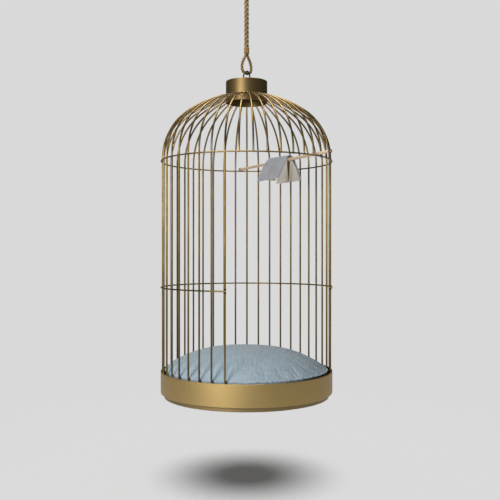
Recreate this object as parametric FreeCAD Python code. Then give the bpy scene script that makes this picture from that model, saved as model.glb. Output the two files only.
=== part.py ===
"""Hanging birdcage seat: a round cage of thin brass rods on a padded drum, hung by a rope.

Millimetres, +Z up. The origin is the middle of the ceiling plate's upper face, so it all hangs below z = 0.
The open doorway faces -Y and a little +X. An angle round the cage is counted from -Y towards +X.
"""

import FreeCAD, Part
import math
import os

V = FreeCAD.Vector
UP = V(0, 0, 1)

# ---- driving dimensions ----
# cage
CAGE_R = 488.0            # circle through the rods' centres
ROD_R = 5.0
RING_ROD_R = 4.0
ROD_COUNT = 41            # places round the cage, equally spaced; one is exactly at the back
DOORWAY_RODS = 10         # ribs with no side rod below them, which leave the doorway
DOORWAY_FIRST = -1        # the first of them, counted from the middle of the front
BACK_FIRST = 16           # the first rod of each group round the cage
LEFT_FIRST = 25
FRONT_LEFT_FIRST = 34
WELD = 0.2                # how far welded rods sink into each other

# heights, all below the ceiling
UPPER_RING_Z = -1226.0
MID_RING_Z = -1956.0
RIM_Z = -2439.0           # top edge of the drum
CAP_TOP_Z = -755.0

# dome: each rib leaves the vertical here and follows two arcs to the cap
DOME_START_Z = UPPER_RING_Z + 18.0
DOME_LOW_R = 328.0
DOME_LOW_TURN = 56.0
DOME_HIGH_R = 625.0

# drum
DRUM_R = 500.0
DRUM_WALL = 3.0
DRUM_H = 123.0
BAND_EDGE = 1.5           # chamfer along the band's outer edges
LIP_T = 4.0
LIP_IN_R = CAGE_R + ROD_R - WELD   # the top lip touches the rods' outer side
FLOOR_T = 4.0
FLOOR_PLAY = 0.2          # between the floor's edge and the band
PLINTH_R = 480.0
PLINTH_IN_R = 458.0
PLINTH_H = 25.0
BOARD_R = 470.0
BOARD_T = 12.0
BOARD_DEPTH = 74.0        # the seat board's upper face, below the rim
BLOCK = 46.0              # square side of the wooden blocks under the board
BLOCK_RING_R = 300.0
BLOCKS = 6
PLINTH_SCREWS = 8
SCREW_R = 3.0
SCREW_HEAD_R = 6.0
SCREW_HEAD_T = 2.4
PLINTH_SCREW_END = 3.0    # how far its screws stand above the drum's floor
BLOCK_SCREW_BITE = 22.0   # how far a screw goes into its block

# cushion
CUSHION_TOP_Z = RIM_Z + 140.0
CUSHION_SEAT_R = 464.0    # where it lies on the board
CUSHION_WIDE_R = 479.0    # just above the rim, inside the rods
CUSHION_SHOULDER = (446.0, 46.0)   # radius, and height above the rim
CUSHION_CROWN = (250.0, 119.0)
CUSHION_TUCK = 6.0        # its neck lies this far below the rim, and its widest this far above
CUSHION_SIDE_PULL = 60.0  # how long the outline keeps upright at its widest
CUSHION_TOP_PULL = 300.0  # and level at its middle
SOFT_GAP = 0.5

# cap
CAP_R = 121.0
CAP_H = 125.0
CAP_WALL = 3.0
CAP_RECESS = 4.0          # its top plate lies this far below its upper edge
CAP_PLATE_T = 6.0
CAP_EDGE = 1.0            # chamfer along its outer edges
RIB_BITE = 1.8            # how far a rib's end goes into the cap's wall

# U-bolt on the cap; its plane is turned from the X axis by this angle
BOW_TURN = -45.0
BOW_ROD_R = 4.0
BOW_HALF = 25.5
BOW_TOP_Z = -693.0        # centre of the bent rod at its top
BOW_LEG_END_Z = -796.0
NUT_ACROSS = 13.0
NUT_H = 6.5
WASHER_R = 9.0
WASHER_T = 1.6
LEG_HOLE_PLAY = 0.3

# rope
ROPE_R = 14.0
EYE_R = 8.5               # the strops that form the two eyes are thinner
WHIPPING_R = 16.0
WHIPPING_H = 36.0
LOWER_WHIPPING_Z = -588.0  # its lower end
UPPER_WHIPPING_Z = -236.0  # its lower end
RUN_GAP = 0.3             # between curved faces that move against each other

# ceiling swivel and shackle
PLATE_R = 60.0
PLATE_T = 6.0
PLATE_EDGE = 1.2          # chamfer along its lower edge
PLATE_HOLES = 4
PLATE_HOLE_R = 3.3
PLATE_PCD = 92.0
HOUSING_R = 26.0
HOUSING_IN_R = 21.0
HOUSING_H = 30.0
HOUSING_FLOOR_T = 6.0
HOUSING_EDGE = 2.0
SPINDLE_R = 8.0
SPINDLE_CLEARANCE = 0.06
HEAD_R = 17.0
HEAD_T = 7.0
BUSH_R = 20.0
BUSH_T = 4.0
BUSH_PLAY = 0.5           # between the bush and the spindle
HEAD_PLAY = 0.1           # between the bush and the spindle's head
EYE_RING_R = 18.0
EYE_ROD_R = 5.0
EYE_Z = -62.0
SHACKLE_ROD_R = 5.0
SHACKLE_HALF = 17.0
BOSS_R = 11.0
BOSS_HALF_T = 5.0
PIN_R = 6.0
PIN_Z = -118.0
PIN_PROUD = 3.0           # how far the pin's end stands out of the far boss
COLLAR_R = 9.5
COLLAR_T = 3.5
TAB_R = 9.0
TAB_T = 6.0
TAB_HOLE_R = 3.2
TAB_BITE = 1.5            # how far the tab sinks into the collar
THIMBLE_IN_R = 12.0
THIMBLE_WEB = 2.5
THIMBLE_GROOVE = 18.0
THIMBLE_FLANGE = 2.0
THIMBLE_LIP = 6.0
THIMBLE_POINT_Z = -176.0
THIMBLE_TAPER = 1.6       # the point drops this many times as far as the sides go out

# perch: a loose stick lying on the upper ring, from its back end to its front end, and the book hung over it
PERCH_R = 8.5
PERCH_BACK = (-44.0, 508.0)
PERCH_FRONT = (447.0, -405.0)
CAP_END_R = 10.5
CAP_END_L = 9.0
CAP_END_FACE = 2.5        # the caps' closed end
CAP_END_ROUND = 2.0
BOOK_LENGTH = 235.0
BOOK_START = 384.0        # from the perch's back end to the book's back edge
BOARD_THICK = 3.0         # each cover with its cloth
COVER_DROP = 118.0        # from the perch's centre to the covers' lower edges
COVER_SPREAD = 80.0       # and out to each side
PAGE_GAP = 10.0           # half width of the way that the leaves leave for the perch
SPINE_TOP = PAGE_GAP + 8.0    # the spine's outer side above the perch's centre
SPINE_HALF = 12.0
SPINE_HINGE = 1.5         # how far the spine's inner side is narrower at each edge
LEAF_MARGIN = 4.0         # the leaves end this far inside the covers
LEAF_HANG = 26.0          # and their inner corners hang this far below the outer ones
LEAF_MIDDLE = 34.0        # out from the middle, where the lower edge turns up
LEAF_PLAY = 0.4           # between the leaves and the spine

os.makedirs("parts", exist_ok=True)


# ---- helpers ----
def save(name, *solids):
    """One sub-part: one solid, or several that are identical or make a set."""
    shape = solids[0] if len(solids) == 1 else Part.makeCompound(list(solids))
    shape.exportStep("parts/" + name + ".step")
    print(f"{name:24s} {len(solids):3d} solids {shape.Volume / 1000:10.2f} cm3")


def cylinder(radius, height, base, axis=UP):
    return Part.makeCylinder(radius, height, base, axis)


def tube(outer, inner, z_low, z_high):
    height = z_high - z_low
    low = V(0, 0, z_low)
    return cylinder(outer, height, low).cut(cylinder(inner, height, low))


def spun(profile):
    """A closed outline of (radius, height) points, turned about Z."""
    corners = [V(r, 0, z) for r, z in profile]
    face = Part.Face(Part.makePolygon(corners + corners[:1]))
    return face.revolve(V(0, 0, 0), UP, 360)


def moved(shape, x, y, z=0.0):
    copy = shape.copy()
    copy.translate(V(x, y, z))
    return copy


def arc(centre, radius, start, end, out):
    """An arc in the upright plane that holds the direction out, with angles counted from out towards +Z."""
    def at(degrees):
        a = math.radians(degrees)
        return centre + out * (radius * math.cos(a)) + UP * (radius * math.sin(a))
    return Part.Arc(at(start), at((start + end) / 2), at(end)).toShape()


def swept(edges, radius):
    """A round rod along edges that join end to end and share their tangents."""
    wire = Part.Wire(edges)
    first = wire.OrderedEdges[0]
    start = first.valueAt(first.FirstParameter)
    along = first.tangentAt(first.FirstParameter)
    circle = Part.Wire(Part.makeCircle(radius, start, along))
    return wire.makePipeShell([circle], True, False)


def route(points, radius, name):
    """A rope's tube: straight runs joined by tangent arcs, each as large as its two runs allow."""
    edges, here, tightest = [], points[0], math.inf
    for before, corner, after in zip(points, points[1:], points[2:]):
        into, away = corner - before, after - corner
        turn = into.getAngle(away)
        reach = 0.45 * min(into.Length, away.Length)
        bend = reach / math.tan(turn / 2)
        tightest = min(tightest, bend)
        into.normalize()
        away.normalize()
        start, end = corner - into * reach, corner + away * reach
        inward = away - into
        inward.normalize()
        to_middle = bend / math.cos(turn / 2) - bend
        edges.append(Part.LineSegment(here, start).toShape())
        edges.append(Part.Arc(start, corner + inward * to_middle, end).toShape())
        here = end
    edges.append(Part.LineSegment(here, points[-1]).toShape())
    solid = swept(edges, radius)
    length = sum(e.Length for e in edges)
    print(f"{name}: {length:.1f} mm long, tightest radius {tightest:.1f} mm,"
          f" volume ratio {solid.Volume / (math.pi * radius ** 2 * length):.4f}")
    return solid


def hexagon(across, height, base):
    corners = [base + V(math.cos(math.radians(a)), math.sin(math.radians(a)), 0) * (across / math.sqrt(3))
               for a in range(0, 361, 60)]
    return Part.Face(Part.makePolygon(corners)).extrude(UP * height)


def level(degrees):
    """The horizontal direction at an angle from +X towards +Y."""
    a = math.radians(degrees)
    return V(math.cos(a), math.sin(a), 0)


def outward(degrees):
    """The horizontal direction at an angle round the cage."""
    a = math.radians(degrees)
    return V(math.sin(a), -math.cos(a), 0)


# ---- rods, ribs and rings ----
ROD_STEP = 360.0 / ROD_COUNT
FLOOR_TOP_Z = RIM_Z - DRUM_H + FLOOR_T
RIB_FOOT_Z = UPPER_RING_Z - RING_ROD_R


def rod_angle(index):
    """Rod 0 is the first one to the right of the middle of the front."""
    return ROD_STEP * (index + 0.5)


def dome_edges(out):
    """The rib's line from the vertical to the cap, in the upright plane through out."""
    low_centre = out * (CAGE_R - DOME_LOW_R) + UP * DOME_START_Z
    turn = math.radians(DOME_LOW_TURN)
    joint_r = CAGE_R - DOME_LOW_R + DOME_LOW_R * math.cos(turn)
    joint_z = DOME_START_Z + DOME_LOW_R * math.sin(turn)
    high_r = joint_r - DOME_HIGH_R * math.cos(turn)
    high_z = joint_z - DOME_HIGH_R * math.sin(turn)
    end = math.degrees(math.acos((CAP_R - RIB_BITE - high_r) / DOME_HIGH_R))
    high_centre = out * high_r + UP * high_z
    return [
        arc(low_centre, DOME_LOW_R, 0, DOME_LOW_TURN, out),
        arc(high_centre, DOME_HIGH_R, DOME_LOW_TURN, end, out),
    ]


def side_rod(index):
    """A straight rod from the drum's floor to just below the upper ring."""
    foot = outward(rod_angle(index)) * CAGE_R + UP * FLOOR_TOP_Z
    return cylinder(ROD_R, RIB_FOOT_Z - FLOOR_TOP_Z, foot)


def rib(index):
    """A rib that stands on a side rod, or ends free over the doorway, and follows the dome to the cap."""
    out = outward(rod_angle(index))
    foot = out * CAGE_R + UP * RIB_FOOT_Z
    top = out * CAGE_R + UP * DOME_START_Z
    return swept([Part.LineSegment(foot, top).toShape()] + dome_edges(out), ROD_R)


right_post = DOORWAY_FIRST + DOORWAY_RODS
left_post = DOORWAY_FIRST - 1 + ROD_COUNT
SIDES = {
    "door_post_right": range(right_post, right_post + 1),
    "right_rods": range(right_post + 1, BACK_FIRST),
    "back_rods": range(BACK_FIRST, LEFT_FIRST),
    "left_rods": range(LEFT_FIRST, FRONT_LEFT_FIRST),
    "front_left_rods": range(FRONT_LEFT_FIRST, left_post),
    "door_post_left": range(left_post, left_post + 1),
}
for name, indices in SIDES.items():
    save(name, *[side_rod(i) for i in indices])
save("dome_ribs", *[rib(i) for i in range(right_post, left_post + 1)])
save("doorway_ribs", *[rib(i) for i in range(DOORWAY_FIRST, right_post)])

RING_R = CAGE_R + ROD_R + RING_ROD_R - WELD
save("upper_ring", Part.makeTorus(RING_R, RING_ROD_R, V(0, 0, UPPER_RING_Z), UP))

# the middle ring runs from post to post round the back, and a wire lashing ties each of its ends to the post
OPEN_FROM = rod_angle(left_post) - 360.0
OPEN_TO = rod_angle(right_post)
OVERHANG = 0.9            # degrees by which the ring's ends pass the posts


def mid_ring():
    start = outward(OPEN_TO - OVERHANG)
    middle = outward((OPEN_FROM + OPEN_TO) / 2 + 180.0)
    end = outward(OPEN_FROM + OVERHANG)
    points = [way * RING_R + UP * MID_RING_Z for way in (start, middle, end)]
    return swept([Part.Arc(*points).toShape()], RING_ROD_R)


LASHING_WIRE_R = 1.6
LASHING_TURNS = (-11.0, -7.5, 7.5, 11.0)


def lashings(post_angle):
    """Closed turns of wire round the post, above and below the ring's end."""
    out = outward(post_angle)
    turn_r = ROD_R + LASHING_WIRE_R - WELD
    return [Part.makeTorus(turn_r, LASHING_WIRE_R, out * CAGE_R + UP * (MID_RING_Z + dz), UP)
            for dz in LASHING_TURNS]


save("mid_ring", mid_ring())
save("mid_ring_lashings", *(lashings(OPEN_FROM) + lashings(OPEN_TO)))


# ---- drum ----
DRUM_LOW_Z = RIM_Z - DRUM_H
FLOOR_R = DRUM_R - DRUM_WALL - FLOOR_PLAY
in_r = DRUM_R - DRUM_WALL
save("drum_band", spun([
    (DRUM_R, DRUM_LOW_Z + BAND_EDGE), (DRUM_R, RIM_Z - BAND_EDGE), (DRUM_R - BAND_EDGE, RIM_Z),
    (LIP_IN_R, RIM_Z), (LIP_IN_R, RIM_Z - LIP_T), (in_r, RIM_Z - LIP_T), (in_r, DRUM_LOW_Z),
    (DRUM_R - BAND_EDGE, DRUM_LOW_Z),
]))
save("drum_floor", cylinder(FLOOR_R, FLOOR_T, V(0, 0, DRUM_LOW_Z)))
save("plinth_ring", tube(PLINTH_R, PLINTH_IN_R, DRUM_LOW_Z - PLINTH_H, DRUM_LOW_Z))

BOARD_TOP_Z = RIM_Z - BOARD_DEPTH
block_h = BOARD_TOP_Z - BOARD_T - FLOOR_TOP_Z


def round_the_drum(shape, count, radius, first=0.0):
    return [moved(shape, *(outward(first + 360.0 * i / count) * radius)) for i in range(count)]


block = Part.makeBox(BLOCK, BLOCK, block_h, V(-BLOCK / 2, -BLOCK / 2, FLOOR_TOP_Z))
save("seat_board", cylinder(BOARD_R, BOARD_T, V(0, 0, BOARD_TOP_Z - BOARD_T)))
save("board_blocks", *round_the_drum(block, BLOCKS, BLOCK_RING_R))


def pan_screw(head_z, length):
    """A pan-head screw driven upwards, its head against head_z."""
    head = cylinder(SCREW_HEAD_R, SCREW_HEAD_T, V(0, 0, head_z - SCREW_HEAD_T))
    shank = cylinder(SCREW_R, length, V(0, 0, head_z))
    return head.fuse(shank).removeSplitter()


plinth_screw = pan_screw(DRUM_LOW_Z - PLINTH_H, PLINTH_H + FLOOR_T + PLINTH_SCREW_END)
block_screw = pan_screw(DRUM_LOW_Z, FLOOR_T + BLOCK_SCREW_BITE)
plinth_middle = (PLINTH_R + PLINTH_IN_R) / 2
save("plinth_screws", *round_the_drum(plinth_screw, PLINTH_SCREWS, plinth_middle, 180.0 / PLINTH_SCREWS))
save("block_screws", *round_the_drum(block_screw, BLOCKS, BLOCK_RING_R))


# ---- cushion: a plain closed form of the right size ----
def cushion():
    low_z = BOARD_TOP_Z + SOFT_GAP
    neck = (CUSHION_SEAT_R + CUSHION_TUCK, RIM_Z - CUSHION_TUCK)
    below = [(0, low_z), (CUSHION_SEAT_R, low_z), neck, (CUSHION_WIDE_R, RIM_Z + CUSHION_TUCK)]
    above = [(r, RIM_Z + rise) for r, rise in (CUSHION_SHOULDER, CUSHION_CROWN)] + [(0, CUSHION_TOP_Z)]
    side = [V(r, 0, z) for r, z in below]
    edges = [Part.LineSegment(a, b).toShape() for a, b in zip(side, side[1:])]
    dome = Part.BSplineCurve()
    dome.interpolate(Points=[side[-1]] + [V(r, 0, z) for r, z in above],
                     InitialTangent=UP * CUSHION_SIDE_PULL, FinalTangent=V(-CUSHION_TOP_PULL, 0, 0))
    edges.append(dome.toShape())
    edges.append(Part.LineSegment(V(0, 0, CUSHION_TOP_Z), side[0]).toShape())
    return Part.Face(Part.Wire(edges)).revolve(V(0, 0, 0), UP, 360)


save("cushion", cushion())


# ---- cap ----
cap_low_z = CAP_TOP_Z - CAP_H
plate_top_z = CAP_TOP_Z - CAP_RECESS
plate_low_z = plate_top_z - CAP_PLATE_T
bow_side = level(BOW_TURN)
legs = [bow_side * -BOW_HALF, bow_side * BOW_HALF]

save("cap_shell", spun([
    (CAP_R, cap_low_z + CAP_EDGE), (CAP_R, CAP_TOP_Z - CAP_EDGE), (CAP_R - CAP_EDGE, CAP_TOP_Z),
    (CAP_R - CAP_WALL, CAP_TOP_Z), (CAP_R - CAP_WALL, cap_low_z), (CAP_R - CAP_EDGE, cap_low_z),
]))
cap_plate = cylinder(CAP_R - CAP_WALL, CAP_PLATE_T, V(0, 0, plate_low_z))
for leg in legs:
    cap_plate = cap_plate.cut(cylinder(BOW_ROD_R + LEG_HOLE_PLAY, CAP_PLATE_T, leg + UP * plate_low_z))
save("cap_plate", cap_plate)

bow_bend_z = BOW_TOP_Z - BOW_HALF
save("u_bolt", swept([
    Part.LineSegment(legs[1] + UP * BOW_LEG_END_Z, legs[1] + UP * bow_bend_z).toShape(),
    arc(UP * bow_bend_z, BOW_HALF, 0, 180, bow_side),
    Part.LineSegment(legs[0] + UP * bow_bend_z, legs[0] + UP * BOW_LEG_END_Z).toShape(),
], BOW_ROD_R))


def on_leg(shape_at, z):
    return [shape_at(leg + UP * z).cut(cylinder(BOW_ROD_R, NUT_H, leg + UP * z)) for leg in legs]


def washer_at(base):
    return cylinder(WASHER_R, WASHER_T, base)


def nut_at(base):
    return hexagon(NUT_ACROSS, NUT_H, base)


save("u_bolt_washers", *(on_leg(washer_at, plate_top_z) + on_leg(washer_at, plate_low_z - WASHER_T)))
upper_nuts = on_leg(nut_at, plate_top_z + WASHER_T)
lower_nuts = on_leg(nut_at, plate_low_z - WASHER_T - NUT_H)
save("u_bolt_nuts", *(upper_nuts + lower_nuts))


# ---- rope: a straight main rope between two whippings, with a thinner strop making the eye at each end ----
def upright(points, direction):
    """Points given as (sideways, height), in the upright plane that holds direction."""
    return [direction * side + UP * z for side, z in points]


# the lower eye passes under the U-bolt's bend, square to it
EYE_LOW_Z = BOW_TOP_Z - BOW_ROD_R - RUN_GAP - EYE_R
eye_side = level(BOW_TURN + 90)
LOWER_EYE = [
    (-5, -588), (-9, -606), (-27, -630), (-39, -662), (-36, -692), (-16, EYE_LOW_Z),
    (16, EYE_LOW_Z), (36, -692), (39, -662), (27, -630), (9, -606), (5, -588),
]
# the upper eye lies in the thimble's groove, square to the shackle's pin
UPPER_EYE_Z = PIN_Z + PIN_R + RUN_GAP + THIMBLE_WEB + EYE_R
THIMBLE_Z = PIN_Z + PIN_R + RUN_GAP - THIMBLE_IN_R
UPPER_EYE = [
    (-5, -200), (-8, -186), (-17, -160), (-23.4, -134), (-23.2, UPPER_EYE_Z - 13.6), (-9.5, UPPER_EYE_Z),
    (9.5, UPPER_EYE_Z), (23.2, UPPER_EYE_Z - 13.6), (23.4, -134), (17, -160), (8, -186), (5, -200),
]
save("lower_eye", route(upright(LOWER_EYE, eye_side), EYE_R, "lower eye"))
save("upper_eye", route(upright(UPPER_EYE, V(0, 1, 0)), EYE_R, "upper eye"))
rope_low_z = LOWER_EYE[0][1]
rope_top_z = UPPER_EYE[0][1]
save("main_rope", cylinder(ROPE_R, rope_top_z - rope_low_z, V(0, 0, rope_low_z)))
for name, low_z in (("lower_whipping", LOWER_WHIPPING_Z), ("upper_whipping", UPPER_WHIPPING_Z)):
    save(name, tube(WHIPPING_R, ROPE_R, low_z, low_z + WHIPPING_H))


# ---- thimble, shackle and ceiling swivel ----
def teardrop(offset, x_low, width):
    """A teardrop prism round the thimble's centre, widened by offset, lying along X."""
    radius = THIMBLE_IN_R + offset
    tip_z = THIMBLE_POINT_Z - THIMBLE_TAPER * offset
    fall = THIMBLE_Z - tip_z
    a = math.asin(radius / fall)
    y, z = radius * math.cos(a), THIMBLE_Z - radius * math.sin(a)
    tip, left, right = V(x_low, 0, tip_z), V(x_low, -y, z), V(x_low, y, z)
    top = V(x_low, 0, THIMBLE_Z + radius)
    outline = Part.Wire([
        Part.LineSegment(tip, left).toShape(),
        Part.Arc(left, top, right).toShape(),
        Part.LineSegment(right, tip).toShape(),
    ])
    return Part.Face(outline).extrude(V(width, 0, 0))


half_groove = THIMBLE_GROOVE / 2
whole = THIMBLE_GROOVE + 2 * THIMBLE_FLANGE
web = teardrop(THIMBLE_WEB, -whole / 2, whole)
flanges = [teardrop(THIMBLE_LIP, x, THIMBLE_FLANGE) for x in (-whole / 2, half_groove)]
thimble = web.fuse(flanges[0]).fuse(flanges[1]).cut(teardrop(0.0, -whole / 2, whole))
save("thimble", thimble.removeSplitter())

shackle_top_z = EYE_Z - EYE_RING_R + EYE_ROD_R + RUN_GAP + SHACKLE_ROD_R
bend_z = shackle_top_z - SHACKLE_HALF
X = V(1, 0, 0)
shackle = swept([
    Part.LineSegment(X * SHACKLE_HALF + UP * PIN_Z, X * SHACKLE_HALF + UP * bend_z).toShape(),
    arc(UP * bend_z, SHACKLE_HALF, 0, 180, X),
    Part.LineSegment(X * -SHACKLE_HALF + UP * bend_z, X * -SHACKLE_HALF + UP * PIN_Z).toShape(),
], SHACKLE_ROD_R)
for side in (-SHACKLE_HALF, SHACKLE_HALF):
    shackle = shackle.fuse(cylinder(BOSS_R, 2 * BOSS_HALF_T, V(side - BOSS_HALF_T, 0, PIN_Z), X))
pin_low_x = -SHACKLE_HALF - BOSS_HALF_T
pin = cylinder(PIN_R, PIN_PROUD - 2 * pin_low_x, V(pin_low_x, 0, PIN_Z), X)
save("shackle_bow", shackle.cut(pin).removeSplitter())

pin = pin.fuse(cylinder(COLLAR_R, COLLAR_T, V(pin_low_x, 0, PIN_Z), X * -1))
tab_x = pin_low_x - COLLAR_T - TAB_R + TAB_BITE
tab = cylinder(TAB_R, TAB_T, V(tab_x, -TAB_T / 2, PIN_Z), V(0, 1, 0))
hole = cylinder(TAB_HOLE_R, TAB_T, V(tab_x, -TAB_T / 2, PIN_Z), V(0, 1, 0))
save("shackle_pin", pin.fuse(tab).cut(hole).removeSplitter())

housing_low_z = -PLATE_T - HOUSING_H
plate = spun([(0, 0), (PLATE_R, 0), (PLATE_R, PLATE_EDGE - PLATE_T), (PLATE_R - PLATE_EDGE, -PLATE_T),
              (0, -PLATE_T)])
for i in range(PLATE_HOLES):
    at = outward(45 + 360 * i / PLATE_HOLES) * (PLATE_PCD / 2)
    plate = plate.cut(cylinder(PLATE_HOLE_R, PLATE_T, at - UP * PLATE_T))
save("ceiling_plate", plate)
clear_r = SPINDLE_R + SPINDLE_CLEARANCE
save("swivel_housing", spun([
    (HOUSING_R, -PLATE_T), (HOUSING_IN_R, -PLATE_T), (HOUSING_IN_R, housing_low_z + HOUSING_FLOOR_T),
    (clear_r, housing_low_z + HOUSING_FLOOR_T), (clear_r, housing_low_z),
    (HOUSING_R - HOUSING_EDGE, housing_low_z), (HOUSING_R, housing_low_z + HOUSING_EDGE),
]))
bush_low_z = housing_low_z + HOUSING_FLOOR_T
save("thrust_bush", tube(BUSH_R, SPINDLE_R + BUSH_PLAY, bush_low_z, bush_low_z + BUSH_T))
head_low_z = bush_low_z + BUSH_T + HEAD_PLAY
eye_top_z = EYE_Z + EYE_RING_R
eye = Part.makeTorus(EYE_RING_R, EYE_ROD_R, V(0, 0, EYE_Z), X)
spindle = cylinder(HEAD_R, HEAD_T, V(0, 0, head_low_z))
spindle = spindle.fuse(cylinder(SPINDLE_R, head_low_z - eye_top_z, V(0, 0, eye_top_z)))
save("swivel_eye", spindle.fuse(eye).removeSplitter())


# ---- perch and book ----
back = V(*PERCH_BACK, UPPER_RING_Z + RING_ROD_R + PERCH_R)
front = V(*PERCH_FRONT, back.z)
along = front - back
perch_l = along.Length
along.normalize()
side = UP.cross(along)
save("perch", cylinder(PERCH_R, perch_l, back, along))
bore_l = CAP_END_L - CAP_END_FACE


def end_cap(at, way):
    """A turned cap pushed over the stick's end."""
    body = cylinder(CAP_END_R, CAP_END_L, at - way * bore_l, way)
    rim = [e for e in body.Edges if e.Curve.TypeId == "Part::GeomCircle"
           and abs((e.CenterOfMass - at).dot(way) - CAP_END_FACE) < 1e-6]
    return body.makeFillet(CAP_END_ROUND, rim).cut(cylinder(PERCH_R, bore_l, at - way * bore_l, way))


save("perch_end_caps", end_cap(back, along * -1), end_cap(front, along))


def across(points, start, length):
    """An outline of (side, height) points about the perch's line, run along the perch."""
    origin = back + along * start
    corners = [origin + side * s + UP * z for s, z in points]
    return Part.Face(Part.makePolygon(corners + corners[:1])).extrude(along * length)


slope = math.atan2(COVER_DROP + SPINE_TOP, COVER_SPREAD - SPINE_HALF)
inset_s, inset_z = BOARD_THICK * math.sin(slope), BOARD_THICK * math.cos(slope)
spine_in = SPINE_TOP - BOARD_THICK
half_in = SPINE_HALF - SPINE_HINGE


def covers():
    left = [(-SPINE_HALF, SPINE_TOP), (-COVER_SPREAD, -COVER_DROP),
            (-COVER_SPREAD + inset_s, -COVER_DROP - inset_z), (-half_in, spine_in)]
    right = [(-s, z) for s, z in reversed(left)]
    return across(left + right, BOOK_START, BOOK_LENGTH)


def leaves(way):
    """The leaves on one side: bound under the spine, passing the perch, fanned out below."""
    low_out = LEAF_MARGIN - COVER_DROP
    low_in = low_out - LEAF_HANG
    outer_s = COVER_SPREAD - inset_s - LEAF_MARGIN
    top = spine_in - LEAF_PLAY
    points = [(LEAF_PLAY, top), (half_in - LEAF_PLAY, top), (outer_s, low_out), (LEAF_MIDDLE, low_in),
              (LEAF_PLAY + LEAF_MARGIN, low_in), (PAGE_GAP, -PAGE_GAP / 2), (PAGE_GAP, PAGE_GAP / 2),
              (LEAF_PLAY, PAGE_GAP)]
    return across([(way * s, z) for s, z in points], BOOK_START + LEAF_MARGIN, BOOK_LENGTH - 2 * LEAF_MARGIN)


save("book_cover", covers())
save("book_leaves", leaves(-1), leaves(1))
print("perch direction", along, "perch length", round(perch_l, 1))
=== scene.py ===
"""Looks of the hanging birdcage seat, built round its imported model. Metres, in the model's own frame."""

import math
import random

import bpy
import numpy as np
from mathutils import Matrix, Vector


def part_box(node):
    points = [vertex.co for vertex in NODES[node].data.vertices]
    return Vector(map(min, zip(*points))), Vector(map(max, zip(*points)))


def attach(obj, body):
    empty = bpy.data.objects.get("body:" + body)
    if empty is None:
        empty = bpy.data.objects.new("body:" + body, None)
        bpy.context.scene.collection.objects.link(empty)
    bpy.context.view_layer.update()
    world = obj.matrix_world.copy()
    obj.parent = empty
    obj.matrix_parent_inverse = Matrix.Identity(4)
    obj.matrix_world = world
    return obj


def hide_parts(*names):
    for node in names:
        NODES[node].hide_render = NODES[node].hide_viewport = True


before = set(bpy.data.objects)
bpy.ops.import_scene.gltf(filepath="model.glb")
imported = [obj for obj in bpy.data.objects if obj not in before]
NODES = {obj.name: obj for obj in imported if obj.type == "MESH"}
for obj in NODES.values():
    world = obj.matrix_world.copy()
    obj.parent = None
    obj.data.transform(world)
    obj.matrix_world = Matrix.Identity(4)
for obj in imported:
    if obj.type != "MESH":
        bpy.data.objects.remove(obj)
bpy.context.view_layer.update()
scene = bpy.context.scene
UP = np.array((0.0, 0.0, 1.0))
random.seed(41)

# ---- sizes that the frame gives ----
cushion_low, cushion_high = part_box("cushion")
ring_low, ring_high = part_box("upper_ring")
mid_low, mid_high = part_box("mid_ring")

RIM_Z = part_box("drum_band")[1].z
RING_Z = (ring_low.z + ring_high.z) / 2
MID_Z = (mid_low.z + mid_high.z) / 2
CAP_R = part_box("cap_shell")[1].x

# ---- sizes that repeat the design's own ----
ROD_COUNT = 41
DOORWAY = range(-1, 9)
CAGE_R = 0.488
ROD_R = 0.005
ROPE_R = 0.014
EYE_R = 0.0085
WHIPPING_R = 0.016
RIB_END_Z = -0.8423        # where the ribs meet the cap's outer side
BOW_TURN = math.radians(-45)
FROM_BEARING = (0.0, 0.0, 0.7058)    # added to a point, gives its way from where the eye bears on the U-bolt
PAD_R = 0.4795             # the cushion's widest, clear of the rods
PERCH_BACK = np.array((-0.044, 0.508, -1.2135))
PERCH_FRONT = np.array((0.447, -0.405, -1.2135))
PERCH_R = 0.0085
BOOK_START = 0.384
BOOK_LENGTH = 0.235

# ---- camera, floor and light ----
CAMERA_AT = (0.020, -4.34, -1.740)
CAMERA_LENS = 53.3
SENSOR = 36.0
FLOOR_Z = -3.056
BACKDROP = 0.694
LIT_BELOW, LIT_ABOVE = 0.50, 0.035
FLOOR_SUN = 3.0
FLOOR_GLOW = 0.09
SHADOW_R = 0.365


def make_camera():
    data = bpy.data.cameras.new("camera")
    data.lens = CAMERA_LENS
    data.sensor_width = SENSOR
    camera = bpy.data.objects.new("camera", data)
    camera.location = CAMERA_AT
    camera.rotation_euler = (math.pi / 2, 0, 0)
    scene.collection.objects.link(camera)
    scene.camera = camera


make_camera()


# ---- mesh helpers ----
def piece(name, verts, faces, material=None, smooth=True):
    """A new mesh object from points and faces."""
    mesh = bpy.data.meshes.new(name)
    mesh.from_pydata([tuple(v) for v in verts], [], faces)
    mesh.update()
    mesh.polygons.foreach_set("use_smooth", [smooth] * len(mesh.polygons))
    obj = bpy.data.objects.new(name, mesh)
    scene.collection.objects.link(obj)
    if material is not None:
        mesh.materials.append(material)
    return obj


def joined(parts):
    """Several (points, faces) as one."""
    verts, faces = [], []
    for points, polygons in parts:
        base = len(verts)
        verts.extend(points)
        faces.extend(tuple(base + i for i in polygon) for polygon in polygons)
    return verts, faces


def unit(v):
    return v / np.linalg.norm(v)


def tangents(points):
    ahead = np.gradient(points, axis=0)
    return ahead / np.linalg.norm(ahead, axis=1)[:, None]


def frames(points, first=None):
    """Two directions square to the line at each point, carried along it without twist."""
    ways = tangents(points)
    start = UP if first is None else first
    if abs(ways[0] @ start) > 0.9:
        start = np.array((1.0, 0.0, 0.0))
    normal = unit(start - ways[0] * (start @ ways[0]))
    normals = [normal]
    for way in ways[1:]:
        normal = unit(normal - way * (normal @ way))
        normals.append(normal)
    normals = np.array(normals)
    return normals, np.cross(ways, normals)


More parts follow.
